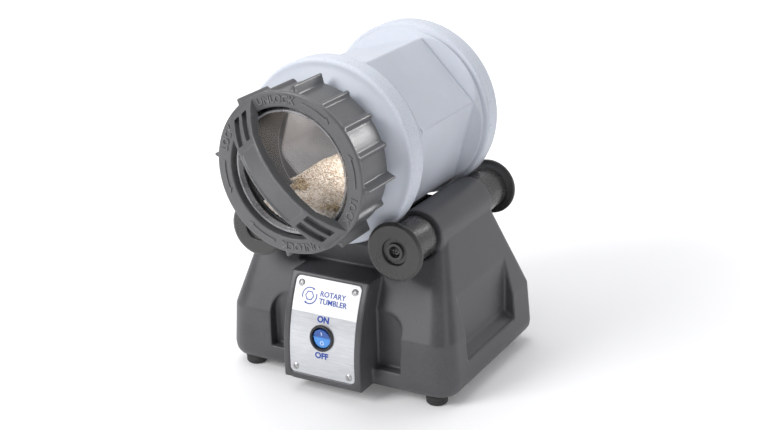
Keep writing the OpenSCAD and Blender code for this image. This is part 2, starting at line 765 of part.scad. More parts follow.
module rib(h) extrude_y(lid_rear_y - 42.6, lid_rear_y + eps)
    polygon([[-4, lid_side_r - 1.2], [4, lid_side_r - 1.2], [0.9, lid_side_r + h], [-0.9, lid_side_r + h]]);

// Side view of the handle bar, measured along the bar and out from the lid's face
module bar_profile(in) intersection() {
    translate([-64 + in, -3]) square([2 * (64 - in), bar_h + 4]);
    translate([0, bar_h - bar_arch_r]) circle(r = bar_arch_r - in, $fn = 256);
}

module bar_plan() polygon([[-66, -14.5], [-38, -10.4], [0, -10.4], [38, -10.4], [66, -14.5],
    [66, 14.5], [38, 10.4], [0, 10.4], [-38, 10.4], [-66, 14.5]]);

module bar_slab(in, w) rotate([90, 0, 0]) linear_extrude(w, center = true) bar_profile(in);

module handle_bar() difference() {
    intersection() {
        bar_slab(0, 40);
        translate([0, 0, -4]) linear_extrude(40) bar_plan();
    }
    rotate([90, 0, 0]) linear_extrude(50, center = true)
        polygon([
            [-56, -6], [-53, 0], [-38, 13], [-20, 18.8], [0, bar_h - bar_t],
            [20, 18.8], [38, 13], [53, 0], [56, -6]
        ]);
    difference() {
        translate([0, 0, 15]) linear_extrude(20) rounded_rect(66, 17, 3);
        bar_slab(1, 50);
    }
    both_x() for (s = [-1, 1]) difference() {
        translate([37.5, s > 0 ? 1.6 : -8, 2]) cube([22, 6.4, 40]);
        bar_slab(5.5, 50);
    }
}

module lid_ring() color([0.40, 0.40, 0.41]) on_drum_axis() {
    difference() {
        union() {
            turn_y() {
                translate([0, lid_y + 4]) square([lid_side_r, lid_rear_y - lid_y - 4]);
                rounded_section(0, lid_r, lid_y, lid_y + 4.6, 1.4);
            }
            for (i = [0 : rib_count - 1])
                rotate([0, -(rib_start + i * 360 / rib_count) + 90, 0])
                    rib(len(search(i, tall_ribs)) > 0 ? rib_tall : rib_small);
            translate([0, lid_y, 0]) rotate([90, 0, 0]) rotate([0, 0, bar_angle]) handle_bar();
        }
        bar_y(opening_d / 2, lid_y - 1, lid_rear_y + 1);
        bar_y(lid_bore_r, lip_y, lid_rear_y + 1);
    }
    ridge(lid_bore_r + 1, lid_bore_r - thread_h, thread_y - pitch / 2, 1.5);
}

module lid_window() color([0.80, 0.86, 0.90, 0.35]) on_drum_axis() turn_y() {
    translate([0, neck_y - 4.5]) square([neck_r, 3]);
    translate([49.6, neck_y - 10.5]) square([2, 6.2]);
}

module lid_gasket() color([0.14, 0.14, 0.14]) on_drum_axis() tube_y(50.5, neck_r, neck_y - 1.5, neck_y);

place() base_housing();
place() bottom_cover();
place() cover_screws();
place() feet();
place() foot_screws();
place() control_plate();
place() plate_screws();
place() switch_body();
place() switch_rocker();
place() switch_terminals();
place() cable_gland();
place() gland_nut();
place() motor_can();
place() motor_end_cap();
place() motor_gearbox();
place() motor_bracket();
place() motor_screws();
place() bracket_screws();
place() rotor_shaft();
place() cooling_fan();
place() output_shaft();
place() motor_pulley();
place() drive_belt();
place() roller_pulley();
place() drive_bushes();
place() drive_shaft();
place() drive_front_roller();
place() drive_rear_roller();
place() drive_sleeves();
place() drive_shaft_clips();
place() drive_roller_screws();
place() idler_bushes();
place() idler_shaft();
place() idler_front_roller();
place() idler_rear_roller();
place() idler_sleeves();
place() idler_shaft_clips();
place() idler_roller_screws();
place() drum_shell();
place() drum_liner();
place() lid_ring();
place() lid_window();
place() lid_gasket();
place() tumbling_media();
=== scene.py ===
"""The looks of a rotary rock tumbler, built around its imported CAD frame.

A light blue-grey drum with six flats lies on black rollers above a charcoal base. A dark screw lid
with a handle bar and a window closes it. All lengths are metres, in the frame of the CAD model:
the drum's axis runs along Y, the front is -Y and +Z is up.
"""
import json
import math
import random

import bmesh
import bpy
import numpy as np
from mathutils import Matrix, Vector
from mathutils.bvhtree import BVHTree


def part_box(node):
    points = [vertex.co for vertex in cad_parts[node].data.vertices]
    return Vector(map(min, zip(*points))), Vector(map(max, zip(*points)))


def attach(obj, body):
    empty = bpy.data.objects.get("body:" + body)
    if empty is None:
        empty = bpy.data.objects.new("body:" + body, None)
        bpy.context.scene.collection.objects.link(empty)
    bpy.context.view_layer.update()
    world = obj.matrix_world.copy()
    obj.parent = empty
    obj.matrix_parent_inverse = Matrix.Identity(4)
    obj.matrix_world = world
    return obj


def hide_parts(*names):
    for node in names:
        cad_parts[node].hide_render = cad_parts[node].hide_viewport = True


MM = 0.001
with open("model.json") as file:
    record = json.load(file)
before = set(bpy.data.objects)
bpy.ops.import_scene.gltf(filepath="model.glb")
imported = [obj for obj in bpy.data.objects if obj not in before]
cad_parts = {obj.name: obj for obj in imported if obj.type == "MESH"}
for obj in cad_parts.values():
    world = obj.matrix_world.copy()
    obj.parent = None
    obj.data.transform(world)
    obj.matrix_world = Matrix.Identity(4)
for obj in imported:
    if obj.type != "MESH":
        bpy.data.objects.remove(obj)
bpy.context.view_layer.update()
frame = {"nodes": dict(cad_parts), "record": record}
record = frame["record"]
slot_of = {entry["node"]: entry["material_slot"] for entry in record["subparts"]}
body_of = {node: body for body, nodes in record["behaviour"]["bodies"].items() for node in nodes}


# ---- Places, from the frame ----

RING_OUT = 81.5 * MM
drum_low, drum_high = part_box("drum_shell")
DRUM = (drum_low + drum_high) / 2
DRUM.y = drum_high.y - RING_OUT
LID_FACE = DRUM.y - 139.7 * MM
PLATE_LOW, PLATE_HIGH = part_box("control_plate")
PLATE_BEND = 140 * MM
BEND_Z = 32 * MM
SWITCH_Z = 55 * MM


# ---- Meshes ----

def make_piece(name, points, faces, smooth=True):
    """A new object from points and faces, in the frame's coordinates."""
    mesh = bpy.data.meshes.new(name)
    mesh.from_pydata([tuple(p) for p in points], [], faces)
    mesh.validate()
    bm = bmesh.new()
    bm.from_mesh(mesh)
    bmesh.ops.recalc_face_normals(bm, faces=bm.faces)
    bm.to_mesh(mesh)
    bm.free()
    if smooth:
        mesh.shade_smooth()
    piece = bpy.data.objects.new(name, mesh)
    bpy.context.scene.collection.objects.link(piece)
    return piece


def applied(piece):
    """Turns a piece's modifiers into its own mesh."""
    bpy.context.view_layer.update()
    graph = bpy.context.evaluated_depsgraph_get()
    mesh = bpy.data.meshes.new_from_object(piece.evaluated_get(graph))
    piece.modifiers.clear()
    piece.data = mesh
    return piece


def settle(piece, body, material, *nodes, slot=None):
    """Gives a piece its material and body, and hides the CAD nodes that it stands for."""
    piece.data.materials.clear()
    piece.data.materials.append(material)
    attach(piece, body)
    slot or slot_of[nodes[0]]
    if nodes:
        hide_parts(*nodes)
    return piece


def softened(node, name, voxel, rounds, share):
    """A copy of a CAD node as one moulded skin, with its edges rounded off."""
    piece = bpy.data.objects.new(name, frame["nodes"][node].data.copy())
    bpy.context.scene.collection.objects.link(piece)
    skin = piece.modifiers.new("skin", "REMESH")
    skin.mode = "VOXEL"
    skin.voxel_size = voxel * 1
    skin.use_smooth_shade = True
    soft = piece.modifiers.new("soft", "SMOOTH")
    soft.factor = 0.5
    soft.iterations = rounds
    if share < 1:
        thin = piece.modifiers.new("thin", "DECIMATE")
        thin.ratio = share
    applied(piece)
    piece.data.shade_smooth()
    return piece


def rounded(corners, steps=5):
    """An outline of (radius, y, fillet) corners, with each corner turned into an arc."""
    outline = []
    count = len(corners)
    for i, (r, y, fillet) in enumerate(corners):
        here = Vector((r, y))
        back = Vector(corners[i - 1][:2]) - here
        ahead = Vector(corners[(i + 1) % count][:2]) - here
        if fillet <= 0 or r < 1e-9:
            outline.append((r, y))
            continue
        angle = back.angle(ahead)
        reach = min(fillet / math.tan(angle / 2), back.length * 0.49, ahead.length * 0.49)
        radius = reach * math.tan(angle / 2)
        inward = (back.normalized() + ahead.normalized()).normalized()
        centre = here + inward * radius / math.sin(angle / 2)
        first = here + back.normalized() * reach - centre
        last = here + ahead.normalized() * reach - centre
        for k in range(steps + 1):
            spoke = first.lerp(last, k / steps).normalized() * radius
            outline.append(tuple(centre + spoke))
    return outline


def lathe(name, corners, x, z, segments=96, steps=5):
    """A closed solid turned about a line along Y through (x, z). A corner at radius 0 is a pole."""
    outline = rounded(corners, steps)
    points, rings = [], []
    for r, y in outline:
        if r < 1e-9:
            points.append((x, y, z))
            rings.append([len(points) - 1] * segments)
            continue
        rings.append(list(range(len(points), len(points) + segments)))
        for k in range(segments):
            a = 2 * math.pi * k / segments
            points.append((x + r * math.cos(a), y, z + r * math.sin(a)))
    return make_piece(name, points, skin_between(rings, closed=True))


def skin_between(rings, closed):
    """Faces between rings of points, where a pole is a ring of one repeated point."""
    faces = []
    pairs = list(zip(rings, rings[1:] + rings[:1])) if closed else list(zip(rings, rings[1:]))
    for one, two in pairs:
        n = len(one)
        for k in range(n):
            corner = [one[k], one[(k + 1) % n], two[(k + 1) % n], two[k]]
            face = [p for i, p in enumerate(corner) if p not in corner[:i]]
            if len(face) > 2:
                faces.append(face)
    return faces


# ---- Materials ----

class Paint:
    """A material's nodes, built up one at a time on a Principled shader."""

    def __init__(self, name, rough=0.5, metal=0.0, **sockets):
        self.material = bpy.data.materials.new(name)
        self.material.use_nodes = True
        self.tree = self.material.node_tree
        self.shader = self.tree.nodes["Principled BSDF"]
        self.shader.inputs["Roughness"].default_value = rough
        self.shader.inputs["Metallic"].default_value = metal
        for socket, value in sockets.items():
            self.shader.inputs[socket.replace("_", " ")].default_value = value
        self.place = self.tree.nodes.new("ShaderNodeTexCoord").outputs["Object"]
        self.height = None

    def add(self, kind, inputs, **settings):
        """A new node, with each input linked to a socket or set to a value."""
        node = self.tree.nodes.new("ShaderNode" + kind)
        for key, value in settings.items():
            setattr(node, key, value)
        for key, value in inputs.items():
            if isinstance(value, bpy.types.NodeSocket):
                self.tree.links.new(value, node.inputs[key])
            else:
                node.inputs[key].default_value = value
        return node

    def math(self, operation, a, b=0.0):
        """The output of a math node."""
        return self.add("Math", {0: a, 1: b}, operation=operation).outputs[0]

    def noise(self, size, detail=3.0, stretch=(1, 1, 1), rough=0.55):
        """Noise whose lumps are about size metres across, stretched along the axes."""
        scale = [1 / s for s in stretch]
        mapped = self.add("Mapping", {"Vector": self.place, "Scale": scale}).outputs[0]
        inputs = {"Vector": mapped, "Scale": 1 / size, "Detail": detail, "Roughness": rough}
        return self.add("TexNoise", inputs).outputs["Fac"]

    def ranged(self, value, low, high, out_low=0.0, out_high=1.0):
        """A value taken smoothly from one range to another."""
        inputs = {"Value": value, "From Min": low, "From Max": high,
                  "To Min": out_low, "To Max": out_high}
        return self.add("MapRange", inputs, interpolation_type="SMOOTHSTEP").outputs[0]

    def mix(self, fac, a, b):
        """The colour between a and b."""
        node = self.tree.nodes.new("ShaderNodeMix")
        node.data_type = "RGBA"
        for index, value in ((0, fac), (6, a), (7, b)):
            if isinstance(value, bpy.types.NodeSocket):
                self.tree.links.new(value, node.inputs[index])
            else:
                node.inputs[index].default_value = value
        return node.outputs[2]

    def bump(self, value, depth, strength=1.0):
        """Adds a relief of the given depth on top of the earlier ones."""
        inputs = {"Height": value, "Distance": depth, "Strength": strength}
        if self.height is not None:
            inputs["Normal"] = self.height
        self.height = self.add("Bump", inputs).outputs["Normal"]

    def done(self, color, rough=None):
        """Links the finished colour, roughness and relief, and returns the material."""
        self.tree.links.new(color, self.shader.inputs["Base Color"])
        if rough is not None:
            self.tree.links.new(rough, self.shader.inputs["Roughness"])
        if self.height is not None:
            self.tree.links.new(self.height, self.shader.inputs["Normal"])
        return self.material


def shade(color, factor):
    """A colour made lighter or darker, as RGBA."""
    return tuple(min(1.0, c * factor) for c in color[:3]) + (1.0,)


def moulded(name, color, rough, grain=0.5 * MM, depth=0.02 * MM, vary=0.08, wear_and_highlight=0.35, **sockets):
    """Moulded plastic: fine grain, faint cloudiness, and paler edges, partly rubbed wear and partly a painted
    highlight.
    """
    p = Paint(name, rough, **sockets)
    cloud = p.noise(45 * MM, 4)
    fine = p.noise(2.5 * MM, 3)
    tone = p.math("ADD", p.math("MULTIPLY", cloud, 0.7), p.math("MULTIPLY", fine, 0.3))
    base = p.mix(p.ranged(tone, 0.35, 0.65), shade(color, 1 - vary), shade(color, 1 + vary))
    edge = p.add("NewGeometry", {}).outputs["Pointiness"]
    # Paler where the surface is pointy: partly rubbed wear, partly a painted highlight along the edges.
    rub_and_highlight = p.math("MULTIPLY", p.ranged(edge, 0.52, 0.60), p.ranged(p.noise(6 * MM, 4), 0.35, 0.7))
    base = p.mix(p.math("MULTIPLY", rub_and_highlight, wear_and_highlight), base, shade(color, 1.9))
    p.bump(p.noise(grain, 2), depth)
    p.bump(p.noise(30 * MM, 2), 0.12 * MM, 0.5)
    return p.done(base, p.ranged(tone, 0.3, 0.7, rough - 0.06, rough + 0.07))


def rubber(name, color, rough=0.6, marks=0.02 * MM):
    """Rubber: dull, slightly dusty, with fine scuffs."""
    p = Paint(name, rough)
    dust = p.noise(7 * MM, 5, rough=0.7)
    scuff = p.noise(1.2 * MM, 3, stretch=(1, 6, 1))
    base = p.mix(p.ranged(dust, 0.42, 0.75), shade(color, 0.85), shade(color, 1.5))
    p.bump(p.noise(0.35 * MM, 2), 0.015 * MM)
    p.bump(scuff, marks, 0.6)
    return p.done(base, p.ranged(scuff, 0.3, 0.7, rough - 0.08, rough + 0.1))


def metal(name, color, rough=0.3, along=(40, 1, 1), depth=0.006 * MM):
    """Bare metal with drawn or brushed lines along one axis."""
    p = Paint(name, rough, 1.0)
    lines = p.noise(0.35 * MM, 3, stretch=along)
    stain = p.noise(14 * MM, 4)
    base = p.mix(p.ranged(lines, 0.3, 0.7), shade(color, 0.9), shade(color, 1.06))
    base = p.mix(p.ranged(stain, 0.55, 0.8, 0, 0.4), base, shade(color, 0.75))
    p.bump(lines, depth)
    return p.done(base, p.ranged(lines, 0.25, 0.75, rough - 0.07, rough + 0.1))


def drum_plastic():
    """Pale blue-grey moulding; the rolling rings carry a coarser grain and a few scuffs."""
    color = (0.545, 0.575, 0.640)
    p = Paint("drum_plastic", 0.42, Subsurface_Weight=0.05, Subsurface_Scale=4 * MM)
    place = p.add("SeparateXYZ", {"Vector": p.place}).outputs
    across = p.math("SUBTRACT", place[0], DRUM.x)
    above = p.math("SUBTRACT", place[2], DRUM.z)
    square = p.math("ADD", p.math("POWER", across, 2.0), p.math("POWER", above, 2.0))
    radius = p.math("SQRT", square)
    rim = p.ranged(radius, 77 * MM, 79 * MM)
    cloud = p.noise(60 * MM, 4)
    base = p.mix(p.ranged(cloud, 0.3, 0.7), shade(color, 0.95), shade(color, 1.04))
    speck = p.noise(0.9 * MM, 3, rough=0.7)
    base = p.mix(p.math("MULTIPLY", rim, p.ranged(speck, 0.35, 0.65, 0, 0.7)), base, shade(color, 1.3))
    scuff = p.noise(2.2 * MM, 5, stretch=(1, 5, 1))
    marks = p.math("MULTIPLY", rim, p.ranged(scuff, 0.6, 0.75, 0, 0.35))
    base = p.mix(marks, base, shade(color, 0.6))
    p.bump(p.noise(0.6 * MM, 2), 0.018 * MM)
    p.bump(p.math("MULTIPLY", rim, speck), 0.3 * MM)
    return p.done(base, p.ranged(cloud, 0.3, 0.7, 0.38, 0.48))


def liner_rubber():
    """Smooth rubber, grey with fine dust in the barrel; the neck is painted near black as painted shade,
    where the lid shades it.
    """
    p = Paint("liner_rubber", 0.55)
    y = p.add("SeparateXYZ", {"Vector": p.place}).outputs[1]
    deep = p.ranged(y, DRUM.y - 79 * MM, DRUM.y - 75 * MM)
    dust = p.noise(24 * MM, 3)
    grey = p.mix(p.ranged(dust, 0.3, 0.7), (0.19, 0.185, 0.19, 1), (0.235, 0.228, 0.232, 1))
    # Near black for the neck: painted shade of the neck under the lid.
    black = p.mix(p.ranged(dust, 0.3, 0.7), (0.030, 0.029, 0.030, 1), (0.048, 0.047, 0.048, 1))
    p.bump(p.noise(0.5 * MM, 2), 0.01 * MM)
    return p.done(p.mix(deep, black, grey), p.ranged(dust, 0.3, 0.7, 0.48, 0.6))


def plate_metal():
    """Brushed sheet with a white enamelled band across its top."""
    p = Paint("plate_metal", 0.32)
    z = p.add("SeparateXYZ", {"Vector": p.place}).outputs[2]
    edge_z = PLATE_LOW.z + (PLATE_HIGH.z - PLATE_LOW.z) * 0.665
    white = p.ranged(z, edge_z, edge_z + 0.15 * MM)
    lines = p.noise(0.22 * MM, 3, stretch=(60, 1, 1))
    broad = p.noise(2.5 * MM, 3, stretch=(12, 1, 1))
    steel = p.mix(p.ranged(lines, 0.3, 0.7), (0.54, 0.55, 0.57, 1), (0.70, 0.71, 0.74, 1))
    steel = p.mix(p.ranged(broad, 0.45, 0.8, 0, 0.35), steel, (0.46, 0.47, 0.49, 1))
    enamel = p.mix(p.ranged(p.noise(9 * MM, 3), 0.3, 0.7), (0.86, 0.87, 0.88, 1), (0.91, 0.91, 0.92, 1))
    p.tree.links.new(p.math("SUBTRACT", 0.85, p.math("MULTIPLY", white, 0.85)), p.shader.inputs["Metallic"])
    p.bump(p.math("MULTIPLY", lines, p.math("SUBTRACT", 1.0, white)), 0.008 * MM)
    rough = p.math("ADD", p.ranged(lines, 0.3, 0.7, 0.30, 0.44), p.math("MULTIPLY", white, -0.06))
    return p.done(p.mix(white, steel, enamel), rough)


def rocker_blue():
    """Glossy tinted plastic, paler over the lower half."""
    p = Paint("rocker_blue", 0.2, Coat_Weight=0.6, Coat_Roughness=0.08)
    z = p.add("SeparateXYZ", {"Vector": p.place}).outputs[2]
    lower = p.ranged(z, SWITCH_Z + 1.5 * MM, SWITCH_Z - 1 * MM)
    base = p.mix(lower, (0.010, 0.075, 0.34, 1), (0.045, 0.27, 0.74, 1))
    cloud = p.noise(3 * MM, 3)
    base = p.mix(p.ranged(cloud, 0.5, 0.8, 0, 0.35), base, (0.02, 0.13, 0.48, 1))
    p.bump(p.noise(0.6 * MM, 2), 0.004 * MM)
    return p.done(base, p.ranged(cloud, 0.3, 0.7, 0.16, 0.26))


def window_rim():
    """The clear sheet's turned-up edge, a half-clear pale grey that stands for the glint its glass edge
    catches: a painted highlight.
    """
    p = Paint("window_rim", 0.16, Alpha=0.6, Coat_Weight=0.8)
    haze_and_glint = p.noise(14 * MM, 2)
    p.bump(haze_and_glint, 0.02 * MM)
    # Pale grey, partly opaque: a painted highlight of the glass edge's glint.
    base = p.mix(p.ranged(haze_and_glint, 0.3, 0.7), (0.24, 0.24, 0.25, 1), (0.36, 0.36, 0.38, 1))
    return p.done(base, p.ranged(haze_and_glint, 0.3, 0.7, 0.12, 0.24))


def window_clear():
    """Clear sheet: what lies behind shows through, and the gloss grows at a glancing view."""
    material = bpy.data.materials.new("window_clear")
    material.use_nodes = True
    nodes, links = material.node_tree.nodes, material.node_tree.links
    nodes.clear()
    out = nodes.new("ShaderNodeOutputMaterial")
    clear = nodes.new("ShaderNodeBsdfTransparent")
    clear.inputs["Color"].default_value = (0.95, 0.96, 0.97, 1)
    gloss = nodes.new("ShaderNodeBsdfGlossy")
    gloss.inputs["Roughness"].default_value = 0.04
    fresnel = nodes.new("ShaderNodeFresnel")
    fresnel.inputs["IOR"].default_value = 1.2
    smear = nodes.new("ShaderNodeTexNoise")
    smear.inputs["Scale"].default_value = 1 / (12 * MM)
    bump = nodes.new("ShaderNodeBump")
    bump.inputs["Distance"].default_value = 0.01 * MM
    mix = nodes.new("ShaderNodeMixShader")
    links.new(smear.outputs["Fac"], bump.inputs["Height"])
    links.new(bump.outputs["Normal"], gloss.inputs["Normal"])
    links.new(fresnel.outputs["Fac"], mix.inputs["Fac"])
    links.new(clear.outputs["BSDF"], mix.inputs[1])
    links.new(gloss.outputs["BSDF"], mix.inputs[2])
    links.new(mix.outputs["Shader"], out.inputs["Surface"])
    return material


def media_grain(name, colors, rough, metallic=0.0):
    """Loose grains: each lump of noise takes its own tone."""
    p = Paint(name, rough, metallic)
    lump = p.add("TexVoronoi", {"Vector": p.place, "Scale": 1 / (1.6 * MM)}).outputs["Color"]
    tone = p.add("SeparateColor", {"Color": lump}).outputs[0]
    fine = p.noise(0.5 * MM, 3)
    base = p.mix(tone, (*colors[0], 1), (*colors[1], 1))
    base = p.mix(p.ranged(fine, 0.4, 0.8, 0, 0.5), base, (*colors[2], 1))
    p.bump(fine, 0.08 * MM)
    return p.done(base, p.ranged(fine, 0.3, 0.7, rough - 0.08, rough + 0.08))


CHARCOAL = (0.066, 0.066, 0.071)
CERAMIC_TONES = [(0.56, 0.42, 0.30), (0.96, 0.90, 0.82), (0.50, 0.35, 0.24)]
BRASS_TONES = [(0.58, 0.42, 0.24), (0.86, 0.70, 0.48), (0.28, 0.17, 0.08)]
materials = {
    "base_plastic": moulded("base_plastic", CHARCOAL, 0.39, grain=0.7 * MM, depth=0.03 * MM, vary=0.14),
    "cover_plastic": moulded("cover_plastic", (0.06, 0.06, 0.064), 0.5),
    "foot_rubber": rubber("foot_rubber", (0.03, 0.03, 0.03), 0.7),
    "screw_steel": metal("screw_steel", (0.52, 0.52, 0.52), 0.42, (1, 1, 1)),
    "screw_black": metal("screw_black", (0.10, 0.10, 0.10), 0.3, (1, 1, 1)),
    "plate_metal": plate_metal(),
    "switch_black": moulded("switch_black", (0.022, 0.022, 0.024), 0.33, wear_and_highlight=0.2),
    "rocker_blue": rocker_blue(),
    "terminal_brass": metal("terminal_brass", (0.78, 0.58, 0.28), 0.3),
    "gland_black": moulded("gland_black", (0.028, 0.028, 0.03), 0.45),
    "motor_steel": metal("motor_steel", (0.50, 0.51, 0.53), 0.35, (1, 30, 1)),
    "motor_plastic": moulded("motor_plastic", (0.05, 0.05, 0.055), 0.5),
    "gearbox_alloy": metal("gearbox_alloy", (0.62, 0.63, 0.64), 0.45, (1, 1, 1), 0.03 * MM),
    "bracket_steel": metal("bracket_steel", (0.60, 0.61, 0.62), 0.38),
    "shaft_steel": metal("shaft_steel", (0.62, 0.63, 0.64), 0.25, (1, 30, 1)),
    "pulley_plastic": moulded("pulley_plastic", (0.05, 0.05, 0.055), 0.45),
    "belt_rubber": rubber("belt_rubber", (0.028, 0.028, 0.028)),
    "bush_bronze": metal("bush_bronze", (0.62, 0.45, 0.24), 0.45, (1, 1, 1)),
    "roller_plastic": moulded("roller_plastic", (0.040, 0.039, 0.038), 0.30, grain=0.4 * MM),
    "sleeve_rubber": rubber("sleeve_rubber", (0.040, 0.038, 0.037), 0.28, 0.004 * MM),
    "clip_steel": metal("clip_steel", (0.28, 0.28, 0.29), 0.4),
    "drum_plastic": drum_plastic(),
    "liner_rubber": liner_rubber(),
    "lid_plastic": moulded("lid_plastic", (0.098, 0.099, 0.102), 0.34, grain=0.6 * MM, wear_and_highlight=0.8),
    "window_clear": window_clear(),
    "window_rim": window_rim(),
    "gasket_rubber": rubber("gasket_rubber", (0.03, 0.03, 0.03)),
    "media_ceramic": media_grain("media_ceramic", CERAMIC_TONES, 0.75),
    "brass_bits": media_grain("brass_bits", BRASS_TONES, 0.42, 0.3),
    "panel_ink": moulded("panel_ink", (0.012, 0.055, 0.33), 0.35, wear_and_highlight=0.0, depth=0.002 * MM),
    "lens_mark": moulded("lens_mark", (0.62, 0.72, 0.86), 0.4, wear_and_highlight=0.0),
}
for node, piece in frame["nodes"].items():
    piece.data.materials.clear()
    hub_screw = node.endswith("_roller_screws")
    piece.data.materials.append(materials["screw_black" if hub_screw else slot_of[node]])


# ---- Drum ----

FLAT, CORNER, RING = 64 * MM, 74.2 * MM, 80 * MM
SHELL, LINER = 3.2 * MM, 2.6 * MM
NECK = 57.5 * MM
HEX_TURN = math.radians(14)
AROUND = 360


def ramp(value, low, high):
    """0 below low and 1 above high, with a smooth rise between them."""
    t = min(1.0, max(0.0, (value - low) / (high - low)))
    return t * t * (3 - 2 * t)


def soft_min(a, b, k):
    """The lesser of a and b, blended where they differ by less than k."""
    h = np.clip(0.5 + 0.5 * (b - a) / k, 0, 1)
    return b * (1 - h) + a * h - k * h * (1 - h)


turn = np.arange(AROUND) * 2 * math.pi / AROUND


def six_sided(apothem, limit, soft):
    """Radius all round a hexagon with soft corners inside a circle."""
    sides = [apothem / np.maximum(np.cos(turn - HEX_TURN - math.radians(60 * k + 30)), 0.3)
             for k in range(6)]
    radius = sides[0]
    for side in sides[1:]:
        radius = soft_min(radius, side, soft)
    return soft_min(radius, np.full(AROUND, limit), soft * 0.5)


def flat_height(y):
    """Distance of a flat's surface from the axis: a bead, a groove, then a hollow climb to the ring."""
    y = abs(y)
    bead = 0.6 * MM * math.exp(-((y - 46.4 * MM) / (0.8 * MM)) ** 2)
    groove = 1.3 * MM * math.exp(-((y - 49.0 * MM) / (1.3 * MM)) ** 2)
    climb = max(0.0, y - 48.2 * MM) / (7.8 * MM)
    return FLAT + bead - groove + 12.5 * MM * climb ** 1.6


def corner_height(y):
    """Radius that bounds the six sides: a round ridge, a channel, and the foot of the ring."""
    y = abs(y)
    ridge = 2.2 * MM * ramp(y, 50 * MM, 55.6 * MM)
    channel = 2.0 * MM * math.exp(-((y - 58.6 * MM) / (1.3 * MM)) ** 2)
    return CORNER + ridge - channel + 3.0 * MM * ramp(y, 58.6 * MM, 61.9 * MM)


def thread(y):
    """The screw ridge's height all round the neck at one depth."""
    pitch, height, start, turns = 10 * MM, 2.2 * MM, -100 * MM, 1.75
    best = np.zeros(AROUND)
    for n in range(2):
        along = turn / (2 * math.pi) + n
        fade = np.clip(np.minimum(along, turns - along) * 12, 0, 1)
        off = np.abs(y - (start - pitch * along))
        best = np.maximum(best, np.clip((2 * MM - off) / (1 * MM), 0, 1) * height * fade)
    return best


def arc_stations(r0, y0, r1, y1, centre, steps=6):
    """Round stations between two points on a circle about centre = (radius, y)."""
    a0 = math.atan2(y0 - centre[1], r0 - centre[0])
    a1 = math.atan2(y1 - centre[1], r1 - centre[0])
    size = math.hypot(r0 - centre[0], y0 - centre[1])
    angles = [a0 + (a1 - a0) * i / steps for i in range(steps + 1)]
    return [(centre[1] + size * math.sin(a), np.full(AROUND, centre[0] + size * math.cos(a)))
            for a in angles]


def circles(*pairs):
    """Round stations from (radius, y) pairs in millimetres."""
    return [(y * MM, np.full(AROUND, r * MM)) for r, y in pairs]


def ring_stations(sign):
    """The outside of one rolling ring, from its inner edge to its outer face."""
    inner = arc_stations(78.4 * MM, 62 * MM, RING, 63.6 * MM, (78.4 * MM, 63.6 * MM), 5)
    outer = arc_stations(RING, 77.5 * MM, 76 * MM, RING_OUT, (76 * MM, 77.5 * MM), 8)
    middle_rings = [(y * MM, np.full(AROUND, RING)) for y in (66, 69, 72, 75)]
    return [(sign * y, r) for y, r in inner + middle_rings + outer]


def drum_outside():
    """Stations from the tip of the neck to the middle of the rear face."""
    tip = circles((54.6, -125.9), (56.6, -126), (57.3, -125.6), (57.5, -125))
    neck = [(y, NECK + thread(y)) for y in np.arange(-124.4 * MM, -88.6 * MM, 0.5 * MM)]
    front = circles((57.5, -88.6), (57.9, -87.7), (58.8, -87.15), (60, -86.8), (64, -85.3), (69, -83.4),
                    (72, -82.3), (74, -81.7))
    body = [(y, six_sided(flat_height(y), corner_height(y), 0.8 * MM))
            for y in [s * t * MM for s, t in barrel_steps()]]
    rear = circles((71, 81.5), (63.4, 81.5), (62.4, 81.2), (61.6, 80.4), (60.6, 80.1), (45, 80.1), (20, 80.1),
                   (12.4, 80.1), (11.6, 80.4), (11, 81.1), (10, 81.4), (4, 81.4))
    return tip + neck + front + ring_stations(-1)[::-1] + body + ring_stations(1) + rear


def barrel_steps():
    """Depths between the rings, close together where the flats climb."""
    side = list(np.arange(45.2, 61.9, 0.45))
    centre = list(np.arange(-42, 42.1, 7))
    return [(-1, t) for t in side[::-1]] + [(1, t) for t in centre] + [(1, t) for t in side]


def drum_inside(inset, shift, bore, front_y, rear_y, tip_y, soft=2.4):
    """Stations of an inner surface, from the rear's middle to the tip of the neck."""
    ring_r = RING - inset
    edge = (ring_r - 1.5 * MM) / MM
    rear = circles((20, rear_y), (50, rear_y), (edge - 1.5, rear_y), (edge, rear_y - 0.6),
                   (ring_r / MM, rear_y - 2.2))
    depths = [s * t for s, t in barrel_steps() if abs(t) < 61.9]
    ends = rear_y - 4
    barrel = []
    for t in sorted(set([-ends + 3, -ends + 5] + depths + [ends - 5, ends - 3]), reverse=True):
        y = t * MM
        inner = math.copysign(max(abs(y) - shift, 0), y)
        top = min(flat_height(inner) - inset, ring_r)
        barrel.append((y, six_sided(top, min(corner_height(inner) - inset, ring_r), soft * MM)))
    front = circles((ring_r / MM, front_y + 2.2), (edge, front_y + 0.6), (edge - 1.5, front_y),
                    (bore + 2, front_y), (bore + 0.6, front_y - 0.5), (bore, front_y - 2),
                    (bore, -100), (bore, tip_y + 0.6), (bore + 0.3, tip_y + 0.2))
    return rear + barrel + front


def drum_solid(name, outside, inside):
    """A hollow solid between two skins that join at the neck's tip and are closed at the rear."""
    points, rings = [], []
    for y, radius in outside + inside:
        rings.append(list(range(len(points), len(points) + AROUND)))
        for a, r in zip(turn, radius):
            points.append((DRUM.x + r * math.cos(a), DRUM.y + y, DRUM.z + r * math.sin(a)))
    last = len(outside)
    faces = skin_between(rings[:last], False) + skin_between(rings[last:], False)
    faces += skin_between([rings[-1], rings[0]], False)
    faces += [rings[last - 1][::-1], rings[last]]
    return make_piece(name, points, faces)


def make_drum():
    """The barrel with its two ring tyres and its neck."""
    inside = drum_inside(SHELL, 2.4 * MM, 52.4, -78.3, 78.3, -126)
    drum = drum_solid("drum", drum_outside(), inside)
    settle(drum, "drum", materials["drum_plastic"], "drum_shell")


